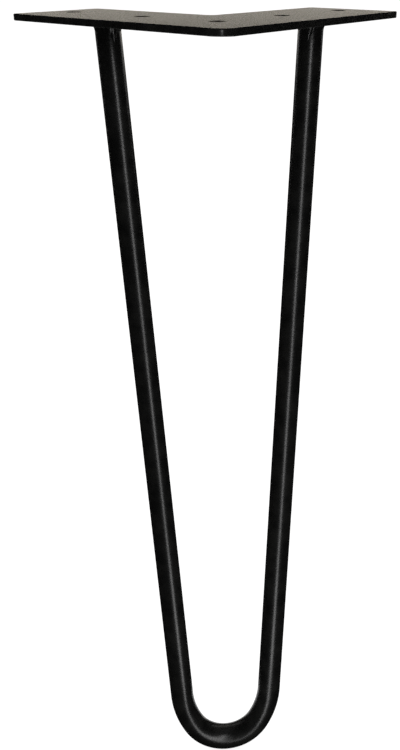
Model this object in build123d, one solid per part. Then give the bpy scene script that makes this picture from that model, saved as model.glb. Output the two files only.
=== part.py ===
from build123d import *
from math import acos, atan2, cos, degrees, hypot, radians, sin, sqrt
import os

# Hairpin table leg: a round bar bent once into a hairpin and welded by its two ends under an L-shaped plate.
# Millimetres, +Z up. The plate's top face, which meets the tabletop, lies in the plane Z = 0.
# The origin is the centre of the corner hole in that face. The right arm runs along +X, the left along +Y.

# Driving dimensions: whole leg
LEG_HEIGHT = 406.0  # from the plate's top face to the underside of the foot bend
SPLAY = 11.0  # degrees that the hairpin leans outwards, towards the plate's outer corner

# Driving dimensions: mounting plate
ARM_LENGTH = 136.0  # from the plate's outer edge to the tip of an arm
ARM_WIDTH = 54.0
PLATE_THICKNESS = 3.2
OUTER_CORNER_RADIUS = 7.0  # the outer corner between the arms, in plan
TIP_CORNER_RADIUS = 2.5  # the four corners of the arms' tips, in plan
INNER_CORNER_RADIUS = 3.0  # the angle between the arms, in plan
EDGE_ROUNDING = 0.5  # cut edges, top and bottom, dulled by the coat

# Driving dimensions: screw holes
HOLE_DIAMETER = 7.0
HOLE_EASING = 0.4  # rims of the holes, eased at 45 degrees top and bottom
TIP_TO_END_HOLE = 14.0  # from an arm's tip to the centre of its end hole
HOLE_SPACING = 49.0  # between the two holes of an arm

# Driving dimensions: bar
ROD_DIAMETER = 12.7
APEX_RADIUS = 22.0  # bend at the foot, to the bar's axis
APEX_HALF_ANGLE = 58.0  # degrees of that bend on each side of its lowest point
SHOULDER_RADIUS = 44.0  # easier bend between the apex and each upright, to the bar's axis

# Driving dimensions: welds
WELD_ON_PLATE = 3.5  # from the bar's side to the weld's edge on the plate
WELD_ON_BAR = 5.0  # from the plate's underside to the weld's edge on the bar
WELD_TOE = 0.3  # thickness of the weld where it ends on the bar
WELD_BANDS = 3  # bands that give the weld its hollow profile

# Places that follow from the driving dimensions
ROD_RADIUS = ROD_DIAMETER / 2
HOLE_LINE = ARM_WIDTH / 2  # holes and welds lie on the middle line of each arm
ARM_REACH = ARM_LENGTH - HOLE_LINE  # from the corner hole to the tip
END_HOLE = ARM_REACH - TIP_TO_END_HOLE
MIDDLE_HOLE = END_HOLE - HOLE_SPACING
WELD_PLACE = (MIDDLE_HOLE + END_HOLE) / 2  # midway between the two holes of an arm
PLATE_UNDERSIDE = Plane((0, 0, -PLATE_THICKNESS))


def both_arms(distance):
    """The two points at a distance from the corner hole, along the right arm and along the left arm."""
    return [(distance, 0), (0, distance)]


def hairpin_plane():
    """The plane of the bar's axis: its origin midway between the welds, x to the right, y up the uprights."""
    across = Vector(1, -1, 0).normalized()
    outwards = Vector(-1, -1, 0).normalized()
    upwards = Vector(0, 0, 1) * cos(radians(SPLAY)) - outwards * sin(radians(SPLAY))
    middle = Vector(WELD_PLACE / 2, WELD_PLACE / 2, -PLATE_THICKNESS)
    return Plane(origin=middle, x_dir=across, z_dir=across.cross(upwards))


def mounting_plate():
    """L-shaped plate with rounded corners, one hole at the corner and two on each arm."""
    outer = -HOLE_LINE
    inner = HOLE_LINE
    right_arm = [(ARM_REACH, outer), (ARM_REACH, inner)]
    left_arm = [(inner, ARM_REACH), (outer, ARM_REACH)]
    blank = make_face(Polyline((outer, outer), *right_arm, (inner, inner), *left_arm, close=True))
    tips = [blank.vertices().sort_by_distance(corner)[0] for corner in right_arm + left_arm]
    blank = fillet(tips, TIP_CORNER_RADIUS)
    blank = fillet(blank.vertices().sort_by_distance((outer, outer))[0], OUTER_CORNER_RADIUS)
    blank = fillet(blank.vertices().sort_by_distance((inner, inner))[0], INNER_CORNER_RADIUS)
    plate = extrude(blank, -PLATE_THICKNESS)
    plate = fillet(plate.edges().filter_by(Axis.Z, reverse=True), EDGE_ROUNDING)
    holes = Locations((0, 0), *both_arms(MIDDLE_HOLE), *both_arms(END_HOLE))
    plate -= holes * Cylinder(HOLE_DIAMETER / 2, 4 * PLATE_THICKNESS)
    rims = plate.edges().filter_by(lambda edge: edge.is_closed)
    return chamfer(rims, HOLE_EASING)


def hairpin_axis():
    """The bar's axis in its own plane: an upright, a shoulder, the apex, the other shoulder and upright."""
    spread = WELD_PLACE / sqrt(2)  # each weld's distance from the plane of symmetry
    drop = (LEG_HEIGHT - PLATE_THICKNESS - ROD_RADIUS) / cos(radians(SPLAY))
    apex_centre = Vector(0, APEX_RADIUS - drop)
    turn = radians(APEX_HALF_ANGLE)
    shoulder_centre = apex_centre + Vector(sin(turn), -cos(turn)) * (APEX_RADIUS - SHOULDER_RADIUS)
    # The right upright is the tangent from its weld to the shoulder circle
    to_weld = Vector(spread, 0) - shoulder_centre
    tangent_angle = atan2(to_weld.Y, to_weld.X) - acos(SHOULDER_RADIUS / hypot(to_weld.X, to_weld.Y))
    tangent_point = shoulder_centre + Vector(cos(tangent_angle), sin(tangent_angle)) * SHOULDER_RADIUS
    # The bar is drawn past the plate's underside and trimmed there
    upright = (Vector(spread, 0) - tangent_point).normalized()
    bar_end = Vector(spread, 0) + upright * ROD_DIAMETER
    shoulder_start = degrees(tangent_angle)
    shoulder_end = APEX_HALF_ANGLE - 90
    right = [
        Line(bar_end, tangent_point),
        CenterArc(shoulder_centre, SHOULDER_RADIUS, shoulder_start, shoulder_end - shoulder_start),
    ]
    apex = CenterArc(apex_centre, APEX_RADIUS, shoulder_end, -2 * APEX_HALF_ANGLE)
    left = mirror(Curve(right), about=Plane.YZ)
    return Wire([*right, apex, *left.edges()])


def hairpin_rod(axis):
    """Round bar swept along the hairpin's axis, its two ends cut flush with the plate's underside."""
    section = Plane(origin=axis @ 0, z_dir=axis % 0) * Circle(ROD_RADIUS)
    return split(sweep(section, path=axis), bisect_by=PLATE_UNDERSIDE, keep=Keep.BOTTOM)


def weld_bead(axis, rod):
    """Fillet weld round the right upright's top: level sections of the bar that widen towards the plate."""
    bar_end = axis @ 0
    down = axis % 0
    lean = Vector(down.X, down.Y, 0).normalized()
    sections = []
    for band in range(WELD_BANDS + 1):
        depth = WELD_ON_BAR * band / WELD_BANDS
        flare = WELD_TOE + (WELD_ON_PLATE - WELD_TOE) * (1 - band / WELD_BANDS) ** 2
        fall = bar_end.Z + PLATE_THICKNESS + depth
        level = Plane(origin=bar_end - down * (fall / down.Z), x_dir=lean, z_dir=(0, 0, 1))
        sections.append(level * Ellipse(ROD_RADIUS / -down.Z + flare, ROD_RADIUS + flare))
    return loft(sections, ruled=True) - rod


def write_parts():
    """Builds every piece and writes each to its own file."""
    axis = hairpin_plane() * hairpin_axis()
    rod = hairpin_rod(axis)
    bead = weld_bead(axis, rod)
    pieces = {
        "mounting_plate": mounting_plate(),
        "hairpin_rod": rod,
        "weld_bead_right": bead,
        "weld_bead_left": mirror(bead, about=Plane(origin=(0, 0, 0), z_dir=(1, -1, 0))),
    }
    os.makedirs("parts", exist_ok=True)
    for name, piece in pieces.items():
        export_step(piece, f"parts/{name}.step")


write_parts()
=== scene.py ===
"""Looks of a hairpin table leg: its coated bar, welds and mounting plate, in a plain pale studio."""

import math

import bpy
import numpy as np
from bpy.props import FloatProperty, FloatVectorProperty, IntProperty, PointerProperty
from mathutils import Matrix, Vector


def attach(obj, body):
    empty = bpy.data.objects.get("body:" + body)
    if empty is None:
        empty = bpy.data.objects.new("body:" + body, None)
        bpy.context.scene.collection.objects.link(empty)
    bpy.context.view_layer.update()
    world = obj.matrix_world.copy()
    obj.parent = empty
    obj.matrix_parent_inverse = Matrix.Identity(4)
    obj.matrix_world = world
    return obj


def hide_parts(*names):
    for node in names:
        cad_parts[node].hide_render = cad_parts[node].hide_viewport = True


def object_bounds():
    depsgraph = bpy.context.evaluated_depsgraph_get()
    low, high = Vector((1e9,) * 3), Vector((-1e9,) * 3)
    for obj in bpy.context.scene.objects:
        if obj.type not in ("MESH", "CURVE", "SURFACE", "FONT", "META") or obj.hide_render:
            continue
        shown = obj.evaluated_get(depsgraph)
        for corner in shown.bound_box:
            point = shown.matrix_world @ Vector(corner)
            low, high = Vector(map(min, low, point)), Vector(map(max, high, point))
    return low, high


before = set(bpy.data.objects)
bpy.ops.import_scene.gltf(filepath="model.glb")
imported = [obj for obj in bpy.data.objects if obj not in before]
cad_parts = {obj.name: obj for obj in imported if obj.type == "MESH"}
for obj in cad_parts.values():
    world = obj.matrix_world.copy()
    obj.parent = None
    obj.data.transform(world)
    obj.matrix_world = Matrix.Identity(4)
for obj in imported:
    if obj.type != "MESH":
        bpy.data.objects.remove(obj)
cad_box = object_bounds()

bl_info = {
    "name": "Hairpin Table Leg",
    "version": (1, 0, 0),
    "blender": (4, 5, 0),
    "location": "3D View > Sidebar > Hairpin Leg",
    "description": "Bar, welds and coat of a hairpin table leg round its packed plate, in a plain studio",
    "category": "Object",
}

PLATE_NODE = "mounting_plate"
COAT_NAME = "satin_black_coat"

# Directions
ROOT_HALF = math.sqrt(0.5)
ACROSS = np.array([ROOT_HALF, -ROOT_HALF, 0.0])  # from the left upright to the right one
OUTWARDS = np.array([-ROOT_HALF, -ROOT_HALF, 0.0])  # towards the plate's outer corner
UP = np.array([0.0, 0.0, 1.0])

# Weld beads
WELDS = (  # piece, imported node, side, phase of its unevenness, and turn of its stop from the bar's lean
    ("right_weld", "weld_bead_right", 1.0, 2.2, 0.0),
    ("left_weld", "weld_bead_left", -1.0, 0.4, 0.1),
)
BEAD_ROUND = 288  # points round the bar
BEAD_ACROSS = 33  # points across the open face
BAR_EDGE_SHIFT, PACE_SHIFT, SWING_SHIFT = 1.7, 0.6, 2.9  # added to the phase, so that no two waves agree
PACE_WANDER = 0.9  # radians by which the scales stray from an even pace
CRESCENT = 2.4  # radians by which a scale's two ends trail its middle
SCALE_SHARE, SCALE_SWING = 0.8, 0.35  # mean share of the scales' height, and its slow swing
EDGE_FADE = 0.6  # power of the sine that fades the scales out at both edges
STOP_WIDTH = 0.4  # radians round the bar over which a bead's stop fades
STOP_FRAY, STOP_TEETH = 0.3, 9  # share by which the stop's low edge is frayed, and its waves in a turn
LUMP_PLACE, LUMP_SPREAD = 0.7, 0.24  # the stop's lump, as shares of the way across the open face

# Coat
TONE_SPAN = (0.36, 0.66)  # noise at which the deep tone ends and the dull tone begins
GLOSS_SPAN = (0.3, 0.7)  # noise at which the coat is smoothest and roughest
TONE_DETAIL, GRAIN_DETAIL, PEEL_DETAIL = 4.0, 2.0, 1.0  # octaves of each noise

# Floor and black cards
FLOOR_POINTS = 9  # along each side of the floor
FELT_TONE = (0.01, 0.01, 0.01, 1.0)
CARD_ROUND = 145  # points all round the leg
CARD_LIFT = 0.001  # the cards' height above the floor
CARD_EDGE = math.radians(6.0)  # turn over which the cards rise to their window
FLOOR_CARD_OUT = (0.01, 0.1, 1.0, 1.0)  # rings of the floor card, as shares of its reach
FLOOR_CARD_RISE = (0.0, 0.0, 0.0, 1.0)  # the same rings, as shares of the sill's height

# Lights
LEG_MIDDLE = (0.0, 0.0, -0.2)
STRIP_PATH = (  # beside the foot, out along the floor, and up beside the camera
    (-0.046, -0.057, -0.404),
    (-0.066, -0.096, -0.404),
    (-0.205, -0.364, 0.265),
)
STRIP_PARTS = 5  # lights that make up its leaning part
PANELS = {  # place, target, direction of the long side, width and length
    "overhead_light": ((0.35, 0.1, 1.3), LEG_MIDDLE, (0.0, 1.0, 0.0), 1.2, 1.2),
    "back_light": ((1.4, 1.2, 0.15), LEG_MIDDLE, (0.6, -0.8, 0.0), 0.5, 2.4),
    "under_light": ((0.0, 0.0, -0.38), (0.0, 0.0, 0.0), (0.0, 1.0, 0.0), 0.5, 0.5),
    # Level with the plate's edge, so that the plate's flat faces don't see it
    "corner_light": ((-0.037, -0.0339, -0.0016), (-0.0254, -0.0245, -0.0016), UP, 0.0024, 0.003),
}

# Camera
SENSOR_WIDTH = 36.0  # millimetres
NEAREST = 0.01  # metres


class BarSizes(bpy.types.PropertyGroup):
    """Sizes of the bent bar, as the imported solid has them."""

    diameter: FloatProperty(
        name="Diameter", description="Diameter of the round bar", default=0.0127, min=0.002, unit="LENGTH"
    )
    height: FloatProperty(
        name="Leg height",
        description="From the plate's top face to the underside of the foot bend",
        default=0.406,
        unit="LENGTH",
    )
    splay: FloatProperty(
        name="Splay",
        description="Lean of the hairpin towards the plate's outer corner",
        default=math.radians(11.0),
        subtype="ANGLE",
        unit="ROTATION",
    )
    weld_place: FloatProperty(
        name="Weld place",
        description="From the corner hole to the middle of a weld, along an arm",
        default=0.0705,
        unit="LENGTH",
    )
    plate_thickness: FloatProperty(
        name="Plate thickness",
        description="Thickness of the plate, at whose underside the bar ends",
        default=0.0032,
        unit="LENGTH",
    )
    apex_radius: FloatProperty(
        name="Apex radius", description="Bend at the foot, to the bar's axis", default=0.022, unit="LENGTH"
    )
    apex_half_angle: FloatProperty(
        name="Apex half angle",
        description="Turn of the foot bend on each side of its lowest point",
        default=math.radians(58.0),
        subtype="ANGLE",
        unit="ROTATION",
    )
    shoulder_radius: FloatProperty(
        name="Shoulder radius",
        description="Easier bend between the apex and each upright, to the bar's axis",
        default=0.044,
        unit="LENGTH",
    )
    sides: IntProperty(name="Sides", description="Points round the bar", default=64, min=12)
    run_stations: IntProperty(name="Run stations", description="Rings along each upright", default=120, min=4)
    bend_stations: IntProperty(name="Bend stations", description="Rings along each arc", default=36, min=4)


class WeldSizes(bpy.types.PropertyGroup):
    """Sizes of the weld bead round the top of each upright."""

    on_plate: FloatProperty(
        name="Leg on plate",
        description="From the bar's side to the bead's edge on the plate",
        default=0.0033,
        unit="LENGTH",
    )
    on_bar: FloatProperty(
        name="Leg on bar",
        description="From the plate's underside to the bead's edge on the bar",
        default=0.0044,
        unit="LENGTH",
    )
    toe_wander: FloatProperty(
        name="Toe wander",
        description="Share by which both edges of the bead stray",
        default=0.13,
        subtype="FACTOR",
    )
    ripples: IntProperty(name="Ripples", description="Scales of the bead round the bar", default=17, min=3)
    ripple_height: FloatProperty(
        name="Ripple height", description="How far the scales stand proud", default=0.00032, unit="LENGTH"
    )
    stop_height: FloatProperty(
        name="Stop height",
        description="Height of the lump where the bead began and ended",
        default=0.0005,
        unit="LENGTH",
    )
    stop_run: FloatProperty(
        name="Stop run",
        description="How much further down the bar that lump reaches",
        default=0.0037,
        unit="LENGTH",
    )
    seat: FloatProperty(
        name="Seat",
        description="How far the hidden faces sink into the bar and the plate",
        default=0.0003,
        unit="LENGTH",
    )


class CoatLook(bpy.types.PropertyGroup):
    """Satin black powder coat."""

    deep_tone: FloatVectorProperty(
        name="Deep tone",
        description="Darkest tone of the coat",
        default=(0.0029, 0.0030, 0.0029),
        subtype="COLOR",
    )
    dull_tone: FloatVectorProperty(
        name="Dull tone",
        description="Palest tone of the coat",
        default=(0.0070, 0.0070, 0.0065),
        subtype="COLOR",
    )
    tone_size: FloatProperty(
        name="Tone size", description="Breadth of the coat's cloudy tones", default=0.009, unit="LENGTH"
    )
    gloss_low: FloatProperty(
        name="Smoothest", description="Roughness where it is glossiest", default=0.22, subtype="FACTOR"
    )
    gloss_high: FloatProperty(
        name="Roughest", description="Roughness where it is dullest", default=0.34, subtype="FACTOR"
    )
    reflectance: FloatProperty(
        name="Reflectance", description="Specular level of the coat", default=0.5, subtype="FACTOR"
    )
    grain_size: FloatProperty(
        name="Grain size", description="Breadth of the powder's fine grain", default=0.0007, unit="LENGTH"
    )
    grain_depth: FloatProperty(
        name="Grain depth", description="Depth of the fine grain", default=0.000008, unit="LENGTH"
    )
    peel_size: FloatProperty(
        name="Peel size", description="Breadth of the coat's soft dimples", default=0.0032, unit="LENGTH"
    )
    peel_depth: FloatProperty(
        name="Peel depth", description="Depth of the soft dimples", default=0.00003, unit="LENGTH"
    )


class StageLook(bpy.types.PropertyGroup):
    """Floor, cards, light and camera of the plain studio."""

    floor_reach: FloatProperty(
        name="Floor reach", description="From the leg to each side of the floor", default=15.0, unit="LENGTH"
    )
    floor_tone: FloatVectorProperty(
        name="Floor tone", description="Colour of the floor", default=(0.36, 0.36, 0.36), subtype="COLOR"
    )
    floor_glow: FloatProperty(
        name="Floor glow",
        description="Share of the floor's white that no shadow takes away",
        default=0.86,
        subtype="FACTOR",
    )
    card_far: FloatProperty(
        name="Card reach", description="From the origin to the black cards' rim", default=0.9, unit="LENGTH"
    )
    card_sill: FloatProperty(
        name="Card sill",
        description="From the floor to the bottom of the opening behind the leg",
        default=0.36,
        unit="LENGTH",
    )
    card_window: FloatProperty(
        name="Card window",
        description="From the floor to the top of the opening behind the leg",
        default=0.49,
        unit="LENGTH",
    )
    card_height: FloatProperty(
        name="Card height", description="From the floor to the hood's lid", default=1.3, unit="LENGTH"
    )
    card_hole: FloatProperty(
        name="Card hole", description="Radius of the opening in the lid", default=0.02, unit="LENGTH"
    )
    card_half_angle: FloatProperty(
        name="Card half angle",
        description="Reach of the hood's full wall to each side of the camera",
        default=math.radians(125.0),
        subtype="ANGLE",
        unit="ROTATION",
    )
    ambient: FloatProperty(name="Ambient", description="Strength of the light from all round", default=0.6)
    strip_low_radiance: FloatProperty(
        name="Strip low light", description="Brightness of the narrow light at the floor", default=3.7
    )
    strip_high_radiance: FloatProperty(
        name="Strip high light", description="Brightness of the narrow light at its top", default=5.8
    )
    strip_toe_width: FloatProperty(
        name="Strip toe width",
        description="Width of the narrow light beside the foot",
        default=0.016,
        unit="LENGTH",
    )
    strip_low_width: FloatProperty(
        name="Strip low width",
        description="Width of the narrow light at the floor",
        default=0.026,
        unit="LENGTH",
    )
    strip_high_width: FloatProperty(
        name="Strip high width",
        description="Width of the narrow light at its top",
        default=0.078,
        unit="LENGTH",
    )
    corner_radiance: FloatProperty(
        name="Corner light", description="Brightness of the small light before the plate's corner", default=6.0
    )
    under_watts: FloatProperty(
        name="Under light", description="Power of the dim light below the plate", default=3.2, unit="POWER"
    )
    overhead_watts: FloatProperty(
        name="Overhead light", description="Power of the broad light above", default=6.0, unit="POWER"
    )
    glow_watts: FloatProperty(
        name="Back light", description="Power of the warm light behind", default=4.1, unit="POWER"
    )
    glow_tone: FloatVectorProperty(
        name="Back tone",
        description="Colour of the warm light behind",
        default=(1.0, 0.86, 0.62),
        subtype="COLOR",
    )
    camera_place: FloatVectorProperty(
        name="Camera place",
        description="Where the camera stands, from the corner hole",
        default=(-0.24872, -0.21709, 0.0243),
        subtype="XYZ",
        unit="LENGTH",
    )
    camera_heading: FloatProperty(
        name="Camera heading",
        description="Direction the camera looks, turned from +X",
        default=math.radians(39.7307),
        subtype="ANGLE",
        unit="ROTATION",
    )
    camera_dip: FloatProperty(
        name="Camera dip",
        description="How far below the horizon the camera looks",
        default=math.radians(21.6007),
        subtype="ANGLE",
        unit="ROTATION",
    )
    camera_lens: FloatProperty(
        name="Camera lens", description="Focal length in millimetres", default=35.762, unit="CAMERA"
    )
    camera_shift: FloatVectorProperty(
        name="Camera shift",
        description="Shift of the frame across and up",
        size=2,
        default=(-0.04809, -0.16049),
    )


def grid_mesh(name, points, rows_close=False, columns_close=False, end_caps=False):
    """Mesh of a grid of points, of the shape rows, columns, 3.

    Each face joins four neighbours of the grid, turned so that the way along a row crossed with the way down
    the columns points outwards. rows_close joins the last row to the first, columns_close the last column to
    the first, and end_caps closes the first and the last row with a flat face.
    """
    rows, columns = points.shape[:2]
    index = np.arange(rows * columns).reshape(rows, columns)
    beside = np.roll(index, -1, axis=1)
    below = np.roll(index, -1, axis=0)
    below_beside = np.roll(beside, -1, axis=0)
    faces = np.stack([index, beside, below_beside, below], axis=-1)
    faces = faces[: rows if rows_close else rows - 1, : columns if columns_close else columns - 1]
    face_list = faces.reshape(-1, 4).tolist()
    if end_caps:
        face_list += [index[0, ::-1].tolist(), index[-1].tolist()]
    mesh = bpy.data.meshes.new(name)
    mesh.from_pydata(points.reshape(-1, 3).tolist(), [], face_list)
    smooth = np.ones(len(face_list), bool)
    if end_caps:
        smooth[-2:] = False
    mesh.polygons.foreach_set("use_smooth", smooth)
    mesh.update()
    return mesh


def add_piece(name, mesh, node):
    """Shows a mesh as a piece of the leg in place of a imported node, in the leg's coat."""
    piece = bpy.data.objects.new(name, mesh)
    bpy.context.scene.collection.objects.link(piece)
    piece.data.materials.append(satin_black_coat())
    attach(piece, "root")
    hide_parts(node)


def bar_plane(bar):
    """Origin midway between the welds on the plate's underside, and the way up the leaning hairpin."""
    origin = np.array([bar.weld_place / 2, bar.weld_place / 2, -bar.plate_thickness])
    upwards = UP * math.cos(bar.splay) - OUTWARDS * math.sin(bar.splay)
    return origin, upwards


def bar_axis(bar):
    """The bar's axis in its own plane, as points and the angle of each point's outer side.

    The right half is a straight run from the weld that touches the shoulder circle, an arc of that circle, and
    an arc of the apex circle down to the lowest point. The left half is its mirror image. At an angle a the
    axis runs along (sin a, -cos a), and its outer side faces (cos a, sin a).
    """
    spread = bar.weld_place * ROOT_HALF
    drop = (bar.height - bar.plate_thickness - bar.diameter / 2) / math.cos(bar.splay)
    apex_centre = np.array([0.0, bar.apex_radius - drop])
    apex_start = bar.apex_half_angle - math.pi / 2
    outer_side = np.array([math.cos(apex_start), math.sin(apex_start)])
    shoulder_centre = apex_centre + outer_side * (bar.apex_radius - bar.shoulder_radius)
    to_weld = np.array([spread, 0.0]) - shoulder_centre
    reach = math.hypot(*to_weld)
    upright_angle = math.atan2(to_weld[1], to_weld[0]) - math.acos(bar.shoulder_radius / reach)

    shoulder = np.linspace(upright_angle, apex_start, bar.bend_stations)
    shoulder_points = shoulder_centre + bar.shoulder_radius * np.stack([np.cos(shoulder), np.sin(shoulder)], 1)
    apex = np.linspace(apex_start, -math.pi / 2, bar.bend_stations)[1:]
    apex_points = apex_centre + bar.apex_radius * np.stack([np.cos(apex), np.sin(apex)], 1)
    run = np.full(bar.run_stations, upright_angle)
    share = np.linspace(0.0, 1.0, bar.run_stations, endpoint=False)[:, None]
    run_points = np.array([spread, 0.0]) * (1 - share) + shoulder_points[0] * share

    right_points = np.concatenate([run_points, shoulder_points, apex_points])
    right_angles = np.concatenate([run, shoulder, apex])
    points = np.concatenate([right_points, (right_points * [-1.0, 1.0])[-2::-1]])
    angles = np.concatenate([right_angles, (math.pi - right_angles)[-2::-1]])
    return points, angles


def bar_surface(bar):
    """Circle of the bar's diameter carried along its axis, with both ends cut level by the plate's underside.

    A point is the axis plus the radius times (cos t of the outer side plus sin t of the plane's normal). The
    two end rings slide along the axis until they lie in the plate's underside.
    """
    origin, upwards = bar_plane(bar)
    facing = np.cross(ACROSS, upwards)
    flat, angles = bar_axis(bar)
    axis = origin + flat[:, :1] * ACROSS + flat[:, 1:] * upwards
    sine, cosine = np.sin(angles)[:, None], np.cos(angles)[:, None]
    along = sine * ACROSS - cosine * upwards
    outer = cosine * ACROSS + sine * upwards
    turn = np.linspace(0.0, 2 * math.pi, bar.sides, endpoint=False)[None, :, None]
    radius = bar.diameter / 2
    points = axis[:, None] + radius * (np.cos(turn) * outer[:, None] + np.sin(turn) * facing)
    for end in (0, -1):
        slide = (-bar.plate_thickness - points[end, :, 2:]) / along[end, 2]
        points[end] += slide * along[end]
    return points


def waver(turn, phase):
    """Slow uneven wave round a full turn, between about -1 and 1: four sines of whole numbers of waves."""
    waves = np.array([2.0, 3.0, 5.0, 8.0])
    shares = np.array([0.34, 0.30, 0.22, 0.14])
    shifts = phase * np.array([1.0, 2.3, 3.7, 5.9])
    return (shares * np.sin(turn[..., None] * waves + shifts)).sum(-1)


def weld_surface(bar, weld, side, phase, stop):
    """Hollow rippled bead round the top of one upright, as a closed ring.

    Each level section is the bar's own ellipse, widened by a flare. Along the open face the flare and the
    depth follow a hollow quarter ellipse, from the edge on the plate to the edge on the bar. Both edges stray
    by a slow wave round the bar. Crescent scales, the root of the size of a sine along the bead, stand proud
    of the face and fade out at both edges. At the stop, the place where the bead began and ended, a soft lump
    stands proud and the edge runs further down the bar. The hidden faces close the ring inside the bar and
    the plate.
    """
    origin, upwards = bar_plane(bar)
    angle = bar_axis(bar)[1][0]
    down = side * math.sin(angle) * ACROSS - math.cos(angle) * upwards
    foot = origin + side * bar.weld_place * ROOT_HALF * ACROSS
    lean = down * [1.0, 1.0, 0.0]
    lean /= np.linalg.norm(lean)
    beside = np.cross(UP, lean)

    turn = np.linspace(0.0, 2 * math.pi, BEAD_ROUND, endpoint=False)[:, None]
    face = np.linspace(0.0, 1.0, BEAD_ACROSS)[None, :]
    from_stop = np.angle(np.exp(1j * (turn - stop)))
    at_stop = np.exp(-((from_stop / STOP_WIDTH) ** 2))
    frayed = 1 + STOP_FRAY * np.sin(STOP_TEETH * from_stop + phase)
    on_plate = weld.on_plate * (1 + weld.toe_wander * waver(turn, phase))
    on_bar = weld.on_bar * (1 + weld.toe_wander * waver(turn, phase + BAR_EDGE_SHIFT))
    on_bar = on_bar + weld.stop_run * at_stop * frayed
    bow = face * math.pi / 2
    flare = on_plate * (1 - np.sin(bow))
    depth = on_bar * (1 - np.cos(bow))

    trail = CRESCENT * (2 * face - 1) ** 2
    pace = turn * weld.ripples + PACE_WANDER * waver(turn, phase + PACE_SHIFT)
    scales = np.sqrt(np.abs(np.sin((pace + trail) / 2)))
    uneven = SCALE_SHARE + SCALE_SWING * waver(turn, phase + SWING_SHIFT)
    fade = np.sin(face * math.pi) ** EDGE_FADE
    lump = weld.stop_height * at_stop * np.exp(-(((face - LUMP_PLACE) / LUMP_SPREAD) ** 2))
    proud = weld.ripple_height * scales * uneven * fade + lump
    facing = np.hypot(on_plate * np.sin(bow), on_bar * np.cos(bow))
    flare = flare + proud * on_plate * np.sin(bow) / facing
    depth = depth + proud * on_bar * np.cos(bow) / facing

    sunk = np.full_like(turn, -weld.seat)
    flare = np.concatenate([flare, sunk, sunk, on_plate], axis=1)
    depth = np.concatenate([depth, on_bar + weld.seat, sunk, sunk], axis=1)
    radius = bar.diameter / 2
    centre = foot + (depth / -down[2])[..., None] * down
    along_lean = (radius / -down[2] + flare) * np.cos(turn)
    along_side = (radius + flare) * np.sin(turn)
    return centre + along_lean[..., None] * lean + along_side[..., None] * beside


def link_nodes(tree, *links):
    """Joins sockets, given as pairs of an output and an input."""
    for output, target in links:
        tree.links.new(output, target)


def noise(tree, place, size, detail):
    """Noise whose features are about that size, read on the piece's own coordinates."""
    node = tree.nodes.new("ShaderNodeTexNoise")
    node.inputs["Scale"].default_value = 1 / size
    node.inputs["Detail"].default_value = detail
    tree.links.new(place, node.inputs["Vector"])
    return node.outputs["Fac"]


def ranged(tree, value, span, low, high):
    """A value stretched so that it runs from low to high over a span."""
    node = tree.nodes.new("ShaderNodeMapRange")
    for socket, number in zip(("From Min", "From Max", "To Min", "To Max"), (*span, low, high)):
        node.inputs[socket].default_value = number
    tree.links.new(value, node.inputs["Value"])
    return node.outputs["Result"]


def bumped(tree, height, depth, normal=None):
    """Bump of that depth, laid over an earlier one where there is one."""
    node = tree.nodes.new("ShaderNodeBump")
    node.inputs["Strength"].default_value = 1.0
    node.inputs["Distance"].default_value = depth
    tree.links.new(height, node.inputs["Height"])
    if normal is not None:
        tree.links.new(normal, node.inputs["Normal"])
    return node.outputs["Normal"]


def satin_black_coat():
    """Black powder coat: cloudy near-black tones, uneven satin gloss, soft dimples and a fine grain."""
    made = bpy.data.materials.get(COAT_NAME)
    if made:
        return made
    look = bpy.context.scene.hairpin_coat
    coat = bpy.data.materials.new(COAT_NAME)
    coat.use_nodes = True
    tree = coat.node_tree
    shader = tree.nodes["Principled BSDF"]
    place = tree.nodes.new("ShaderNodeTexCoord").outputs["Object"]
    tones = tree.nodes.new("ShaderNodeValToRGB")
    for stop, position, tone in zip(tones.color_ramp.elements, TONE_SPAN, (look.deep_tone, look.dull_tone)):
        stop.position = position
        stop.color = (*tone, 1.0)
    grain = noise(tree, place, look.grain_size, GRAIN_DETAIL)
    dimples = bumped(tree, noise(tree, place, look.peel_size, PEEL_DETAIL), look.peel_depth)
    link_nodes(
        tree,
        (noise(tree, place, look.tone_size, TONE_DETAIL), tones.inputs["Fac"]),
        (tones.outputs["Color"], shader.inputs["Base Color"]),
        (ranged(tree, grain, GLOSS_SPAN, look.gloss_low, look.gloss_high), shader.inputs["Roughness"]),
        (bumped(tree, grain, look.grain_depth, dimples), shader.inputs["Normal"]),
    )
    shader.inputs["Specular IOR Level"].default_value = look.reflectance
    return coat


def seen_rays(tree):
    """1 for rays from the camera and for those that show the background in gloss or glass, otherwise 0."""
    rays = tree.nodes.new("ShaderNodeLightPath").outputs
    gloss = tree.nodes.new("ShaderNodeMath")
    gloss.operation = "MAXIMUM"
    glass = tree.nodes.new("ShaderNodeMath")
    glass.operation = "MAXIMUM"
    link_nodes(
        tree,
        (rays["Is Camera Ray"], gloss.inputs[0]),
        (rays["Is Glossy Ray"], gloss.inputs[1]),
        (gloss.outputs[0], glass.inputs[0]),
        (rays["Is Transmission Ray"], glass.inputs[1]),
    )
    return glass.outputs[0]


def scaled(tree, value, factor, offset):
    """value times factor plus offset."""
    node = tree.nodes.new("ShaderNodeMath")
    node.operation = "MULTIPLY_ADD"
    node.inputs[1].default_value = factor
    node.inputs[2].default_value = offset
    tree.links.new(value, node.inputs[0])
    return node.outputs[0]


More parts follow.
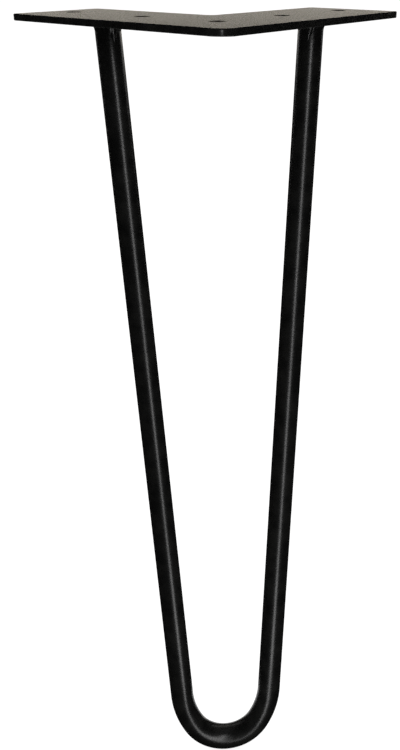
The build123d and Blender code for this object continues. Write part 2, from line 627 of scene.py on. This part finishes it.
def pale_floor(look):
    """Matt floor with a white glow where it is seen. The two add up to more than white, which hides shadows."""
    paper = bpy.data.materials.new("pale_floor")
    paper.use_nodes = True
    tree = paper.node_tree
    tree.nodes.remove(tree.nodes["Principled BSDF"])
    matt = tree.nodes.new("ShaderNodeBsdfDiffuse")
    matt.inputs["Color"].default_value = (*look.floor_tone, 1.0)
    glow = tree.nodes.new("ShaderNodeEmission")
    both = tree.nodes.new("ShaderNodeAddShader")
    link_nodes(
        tree,
        (scaled(tree, seen_rays(tree), look.floor_glow, 0.0), glow.inputs["Strength"]),
        (matt.outputs[0], both.inputs[0]),
        (glow.outputs[0], both.inputs[1]),
        (both.outputs[0], tree.nodes["Material Output"].inputs["Surface"]),
    )
    return paper


def white_world(look):
    """Even light from all round, seen as white."""
    world = bpy.data.worlds.new("white_room")
    world.use_nodes = True
    tree = world.node_tree
    sky = tree.nodes["Background"]
    sky.inputs["Color"].default_value = (1.0, 1.0, 1.0, 1.0)
    strength = scaled(tree, seen_rays(tree), 1.0 - look.ambient, look.ambient)
    tree.links.new(strength, sky.inputs["Strength"])
    bpy.context.scene.world = world


def floor_surface(look):
    """Flat square under the foot: x and y run evenly from side to side, z stays at the leg's lowest point."""
    run = np.linspace(-look.floor_reach, look.floor_reach, FLOOR_POINTS)
    x, y = np.meshgrid(run, run)
    return np.stack([x, y, np.full_like(x, cad_box[0].z)], axis=-1)


def card_turn(look):
    """Bearings all round the leg, and whether each lies in the window behind it, from 0 to 1.

    The bearing is the turn from the camera's side plus that side's own bearing. The second value grows from 0
    to 1 over the card's edge, where the turn passes the half angle.
    """
    turn = np.linspace(-math.pi, math.pi, CARD_ROUND)[:, None]
    behind = np.clip((np.abs(turn) - look.card_half_angle) / CARD_EDGE + 0.5, 0.0, 1.0)
    return turn + look.camera_heading + math.pi, behind


def floor_card_surface(look):
    """Black card on the floor: a flat disc round the leg, its rim turned up into a low wall behind the leg."""
    bearing, behind = card_turn(look)
    out = look.card_far * np.array(FLOOR_CARD_OUT)[None, :]
    rise = cad_box[0].z + CARD_LIFT + look.card_sill * behind * np.array(FLOOR_CARD_RISE)[None, :]
    return np.stack([out * np.cos(bearing), out * np.sin(bearing), rise], axis=-1)


def hood_surface(look):
    """Black drum round the leg with a flat lid, which has a small hole above the leg.

    The profile runs straight up and then inwards, and is carried all round the leg. Its low end lies on the
    floor, and rises to the window's height past the card's half angle from the camera's side.
    """
    bearing, behind = card_turn(look)
    out = np.array([look.card_far, look.card_far, look.card_hole])[None, :]
    low = CARD_LIFT + (look.card_window - CARD_LIFT) * behind
    top = np.full_like(low, look.card_height)
    rise = cad_box[0].z + np.concatenate([low, top, top], axis=1)
    return np.stack([out * np.cos(bearing), out * np.sin(bearing), rise], axis=-1)


def black_felt():
    """Matt black of the cards."""
    felt = bpy.data.materials.new("black_felt")
    felt.use_nodes = True
    shader = felt.node_tree.nodes["Principled BSDF"]
    shader.inputs["Base Color"].default_value = FELT_TONE
    shader.inputs["Roughness"].default_value = 1.0
    return felt


def black_card(name, surface, felt):
    """Matt black card that deepens the coat, as in a studio: it shows in gloss alone and takes no light."""
    card = bpy.data.objects.new(name, grid_mesh(name, surface))
    card.data.materials.append(felt)
    card.visible_camera = False
    card.visible_diffuse = False
    card.visible_shadow = False
    card.visible_transmission = False
    bpy.context.scene.collection.objects.link(card)


def lay_floor(look):
    """The pale floor, the two black cards and the white world."""
    floor = bpy.data.objects.new("floor", grid_mesh("floor", floor_surface(look)))
    bpy.context.scene.collection.objects.link(floor)
    floor.data.materials.append(pale_floor(look))
    felt = black_felt()
    black_card("floor_card", floor_card_surface(look), felt)
    black_card("hood_card", hood_surface(look), felt)
    white_world(look)


def add_light(name, place, target, along, width, length, watts):
    """Rectangular light at a place that faces a target, with its long side along a direction."""
    lamp = bpy.data.lights.new(name, "AREA")
    lamp.shape = "RECTANGLE"
    lamp.size = width
    lamp.size_y = length
    lamp.energy = watts
    light = bpy.data.objects.new(name, lamp)
    long_side = Vector(along).normalized()
    back = Vector(place) - Vector(target)
    back = (back - long_side * back.dot(long_side)).normalized()
    short_side = long_side.cross(back)
    turned = Matrix((short_side, long_side, back)).transposed().to_4x4()
    light.matrix_world = Matrix.Translation(place) @ turned
    light.visible_camera = False
    bpy.context.scene.collection.objects.link(light)
    return light


def panel_watts(radiance, width, length):
    """Power at which a rectangular light has that brightness: the brightness times pi times its area."""
    return radiance * math.pi * width * length


def plate_link(name, state):
    """Collection of the plate, which makes a light skip it (EXCLUDE) or light nothing else (INCLUDE)."""
    link = bpy.data.collections.new(name)
    link.objects.link(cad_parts[PLATE_NODE])
    link.collection_objects[0].light_linking.link_state = state
    return link


def strip_light(look):
    """Narrow light out from the foot, then leaning up beside the camera in parts that widen and brighten.

    The leaning parts skip the plate, whose flat faces would show them from behind as a white patch.
    """
    toe, low, high = (Vector(place) for place in STRIP_PATH)
    skipped = plate_link("skipped_plate", "EXCLUDE")
    step = (high - low) / STRIP_PARTS
    for part in range(STRIP_PARTS):
        share = (part + 0.5) / STRIP_PARTS
        width = look.strip_low_width + (look.strip_high_width - look.strip_low_width) * share
        radiance = look.strip_low_radiance + (look.strip_high_radiance - look.strip_low_radiance) * share
        watts = panel_watts(radiance, width, step.length)
        middle = low + step * (part + 0.5)
        light = add_light(f"strip_light_{part}", middle, LEG_MIDDLE, step, width, step.length, watts)
        light.light_linking.receiver_collection = skipped
    run = low - toe
    width = look.strip_toe_width
    watts = panel_watts(look.strip_low_radiance, width, run.length)
    add_light("strip_light_toe", (toe + low) / 2, LEG_MIDDLE, run, width, run.length, watts)


def set_lights(look):
    """The narrow light, the two small lights for the plate alone, and the broad ones above and behind."""
    strip_light(look)
    watts = panel_watts(look.corner_radiance, *PANELS["corner_light"][-2:])
    corner = add_light("corner_light", *PANELS["corner_light"], watts)
    under = add_light("under_light", *PANELS["under_light"], look.under_watts)
    lit = plate_link("lit_plate", "INCLUDE")
    for light in (corner, under):
        light.light_linking.receiver_collection = lit
    add_light("overhead_light", *PANELS["overhead_light"], look.overhead_watts)
    glow = add_light("back_light", *PANELS["back_light"], look.glow_watts)
    glow.data.color = look.glow_tone


def set_camera(look):
    """The camera at the photograph's place, level across, turned by its heading and dip."""
    lens = bpy.data.cameras.new("photo_camera")
    lens.lens = look.camera_lens
    lens.sensor_width = SENSOR_WIDTH
    lens.shift_x, lens.shift_y = look.camera_shift
    lens.clip_start = NEAREST
    camera = bpy.data.objects.new("photo_camera", lens)
    camera.location = look.camera_place
    camera.rotation_euler = (math.pi / 2 - look.camera_dip, 0.0, look.camera_heading - math.pi / 2)
    scene = bpy.context.scene
    scene.collection.objects.link(camera)
    scene.camera = camera
    scene.view_settings.view_transform = "Standard"


class HAIRPIN_OT_bend_bar(bpy.types.Operator):
    """Makes the bent bar as one smooth tube in the leg's coat"""

    bl_idname = "hairpin_leg.bend_bar"
    bl_label = "Bend bar"

    def execute(self, context):
        surface = bar_surface(context.scene.hairpin_bar)
        mesh = grid_mesh("bent_bar", surface, columns_close=True, end_caps=True)
        add_piece("bent_bar", mesh, "hairpin_rod")
        return {"FINISHED"}


class HAIRPIN_OT_lay_welds(bpy.types.Operator):
    """Lays a rippled weld bead round the top of each upright"""

    bl_idname = "hairpin_leg.lay_welds"
    bl_label = "Lay welds"

    def execute(self, context):
        bar, weld = context.scene.hairpin_bar, context.scene.hairpin_weld
        for name, node, side, phase, stop in WELDS:
            surface = weld_surface(bar, weld, side, phase, stop)
            mesh = grid_mesh(name, surface, rows_close=True, columns_close=True)
            add_piece(name, mesh, node)
        return {"FINISHED"}


class HAIRPIN_OT_coat_plate(bpy.types.Operator):
    """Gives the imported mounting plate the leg's coat"""

    bl_idname = "hairpin_leg.coat_plate"
    bl_label = "Coat plate"

    def execute(self, context):
        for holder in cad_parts[PLATE_NODE].material_slots:
            holder.material = satin_black_coat()
        return {"FINISHED"}


class HAIRPIN_OT_set_stage(bpy.types.Operator):
    """Sets the floor, the lights and the camera"""

    bl_idname = "hairpin_leg.set_stage"
    bl_label = "Set stage"

    def execute(self, context):
        look = context.scene.hairpin_stage
        lay_floor(look)
        set_lights(look)
        set_camera(look)
        return {"FINISHED"}


class HAIRPIN_PT_sidebar(bpy.types.Panel):
    """Sizes, finish and steps of the hairpin leg"""

    bl_label = "Hairpin Leg"
    bl_idname = "HAIRPIN_PT_sidebar"
    bl_space_type = "VIEW_3D"
    bl_region_type = "UI"
    bl_category = "Hairpin Leg"

    def draw(self, context):
        for title, group, operator in PANEL_PARTS:
            box = self.layout.box()
            box.label(text=title)
            settings = getattr(context.scene, group)
            for name in SETTINGS[group].__annotations__:
                box.prop(settings, name)
            box.operator(operator)


PANEL_PARTS = (
    ("Bar", "hairpin_bar", "hairpin_leg.bend_bar"),
    ("Welds", "hairpin_weld", "hairpin_leg.lay_welds"),
    ("Coat", "hairpin_coat", "hairpin_leg.coat_plate"),
    ("Stage", "hairpin_stage", "hairpin_leg.set_stage"),
)
SETTINGS = {
    "hairpin_bar": BarSizes,
    "hairpin_weld": WeldSizes,
    "hairpin_coat": CoatLook,
    "hairpin_stage": StageLook,
}
CLASSES = (
    HAIRPIN_OT_bend_bar,
    HAIRPIN_OT_lay_welds,
    HAIRPIN_OT_coat_plate,
    HAIRPIN_OT_set_stage,
    HAIRPIN_PT_sidebar,
)


def register():
    for name, group in SETTINGS.items():
        bpy.utils.register_class(group)
        setattr(bpy.types.Scene, name, PointerProperty(type=group))
    for each in CLASSES:
        bpy.utils.register_class(each)


def unregister():
    for each in reversed(CLASSES):
        bpy.utils.unregister_class(each)
    for name, group in SETTINGS.items():
        delattr(bpy.types.Scene, name)
        bpy.utils.unregister_class(group)


def main():
    register()
    bpy.ops.hairpin_leg.bend_bar()
    bpy.ops.hairpin_leg.lay_welds()
    bpy.ops.hairpin_leg.coat_plate()
    bpy.ops.hairpin_leg.set_stage()


if __name__ == "__main__":
    main()
